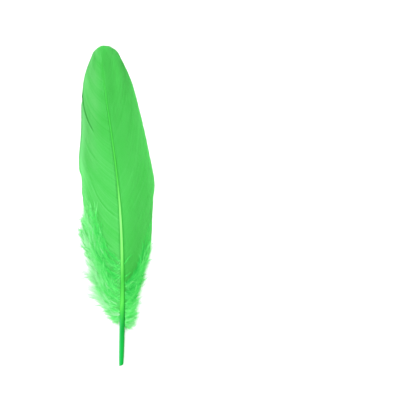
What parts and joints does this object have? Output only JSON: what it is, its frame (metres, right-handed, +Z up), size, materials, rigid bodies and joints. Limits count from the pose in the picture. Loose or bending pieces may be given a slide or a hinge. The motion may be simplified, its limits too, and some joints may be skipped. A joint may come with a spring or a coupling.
{
  "type": "goose quill feather",
  "caption": "Green goose quill feather lying back up: hollow quill and tapering shaft, an arched vane on each side and down at its foot.",
  "frame": {"origin": "middle of the feather's footprint, on the surface that it lies on", "axes": "+Y along the feather from the quill's open end to the tip, +Z up out of the feather's back, +X to the right seen from above"},
  "size_m": [0.0438, 0.18, 0.0069],
  "materials": {
    "quill_keratin": "satin",
    "vane_barbs": "satin",
    "down_fluff": "matte"
  },
  "bodies": {
    "root": {"shaft": "quill_keratin", "vane_left": "vane_barbs", "vane_right": "vane_barbs", "down_left": "down_fluff", "down_right": "down_fluff"}
  },
  "joints": []
}
